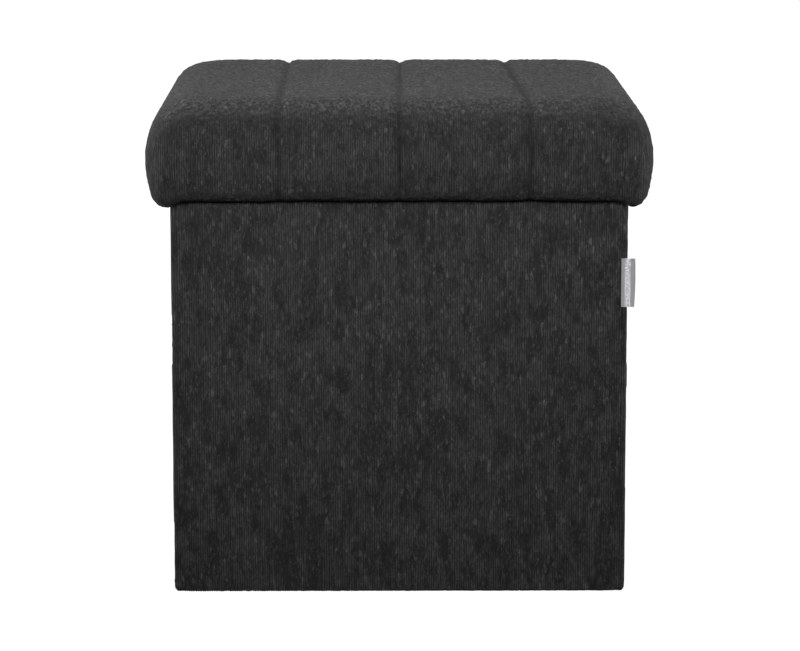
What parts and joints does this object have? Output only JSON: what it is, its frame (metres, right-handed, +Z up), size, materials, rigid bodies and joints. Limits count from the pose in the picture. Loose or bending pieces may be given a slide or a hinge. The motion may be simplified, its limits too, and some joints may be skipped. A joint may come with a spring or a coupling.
{
  "type": "ottoman with storage",
  "caption": "Square fabric storage ottoman: padded lift-off lid with stitched channels over an upright box with a hinged base board and walls that fold flat.",
  "frame": {"origin": "on the floor, under the middle of the box", "axes": "+Z up, the front faces -Y, +X to the right seen from the front"},
  "size_m": [0.384, 0.384, 0.38],
  "materials": {
    "cover_fabric": "matte",
    "seam_fabric": "matte",
    "lining_fabric": "matte",
    "tape": "satin",
    "tag_fabric": "matte",
    "fibreboard": "matte",
    "foam": "matte"
  },
  "bodies": {
    "shell": {"back_board": "fibreboard", "back_cover": "cover_fabric", "back_lining": "lining_fabric", "base_hinge_tape": "tape", "corner_gusset_left": "cover_fabric", "corner_gusset_right": "cover_fabric", "floor_cloth": "lining_fabric", "foot_hem_back": "cover_fabric", "foot_hem_front": "cover_fabric", "foot_hem_left": "cover_fabric", "foot_hem_right": "cover_fabric"},
    "lid": {"lid_board": "fibreboard", "lid_cover": "cover_fabric", "lid_facing": "lining_fabric", "lid_foam_back": "foam", "lid_foam_front": "foam", "lid_foam_left": "foam", "lid_foam_right": "foam", "lid_foam_top": "foam", "lid_lining": "lining_fabric", "lid_rim_back": "fibreboard", "lid_rim_front": "fibreboard", "lid_rim_left": "fibreboard", "lid_rim_right": "fibreboard"},
    "base": {"base_board": "fibreboard", "base_lining": "lining_fabric", "base_pull_tab": "tape"},
    "left_rear_wall": {"fold_seam_left": "seam_fabric", "left_rear_board": "fibreboard", "left_rear_cover": "cover_fabric", "left_rear_lining": "lining_fabric"},
    "left_front_wall": {"corner_seam_left": "seam_fabric", "left_front_board": "fibreboard", "left_front_cover": "cover_fabric", "left_front_lining": "lining_fabric"},
    "front_wall": {"front_board": "fibreboard", "front_cover": "cover_fabric", "front_lining": "lining_fabric", "seam_tag": "tag_fabric"},
    "right_front_wall": {"corner_seam_right": "seam_fabric", "right_front_board": "fibreboard", "right_front_cover": "cover_fabric", "right_front_lining": "lining_fabric"},
    "right_rear_wall": {"fold_seam_right": "seam_fabric", "right_rear_board": "fibreboard", "right_rear_cover": "cover_fabric", "right_rear_lining": "lining_fabric"}
  },
  "joints": [
    {"name": "lid_lift", "type": "slide", "parent": "shell", "child": "lid", "axis": [0, 0, 1], "range_m": [0, 0.2]},
    {"name": "base_flap", "type": "hinge", "parent": "shell", "child": "base", "pos_m": [0, 0.1646, 0.0057], "axis": [-1, 0, 0], "range_deg": [0, 90]},
    {"name": "wall_fold", "type": "hinge", "parent": "shell", "child": "left_rear_wall", "pos_m": [-0.166, 0.1595, 0], "axis": [0, 0, 1], "range_deg": [0, 88]},
    {"name": "left_mid_fold", "type": "hinge", "parent": "left_rear_wall", "child": "left_front_wall", "pos_m": [-0.173, -0.00325, 0], "axis": [0, 0, 1], "range_deg": [-176, 0]},
    {"name": "left_corner_fold", "type": "hinge", "parent": "left_front_wall", "child": "front_wall", "pos_m": [-0.166, -0.166, 0], "axis": [0, 0, 1], "range_deg": [0, 88]},
    {"name": "right_corner_fold", "type": "hinge", "parent": "front_wall", "child": "right_front_wall", "pos_m": [0.166, -0.166, 0], "axis": [0, 0, 1], "range_deg": [0, 88]},
    {"name": "right_mid_fold", "type": "hinge", "parent": "right_front_wall", "child": "right_rear_wall", "pos_m": [0.173, -0.00325, 0], "axis": [0, 0, 1], "range_deg": [-176, 0]}
  ],
  "couplings": [
    {"joint": "left_mid_fold", "follows": "wall_fold", "ratio": -2},
    {"joint": "left_corner_fold", "follows": "wall_fold", "ratio": 1},
    {"joint": "right_corner_fold", "follows": "wall_fold", "ratio": 1},
    {"joint": "right_mid_fold", "follows": "wall_fold", "ratio": -2}
  ]
}
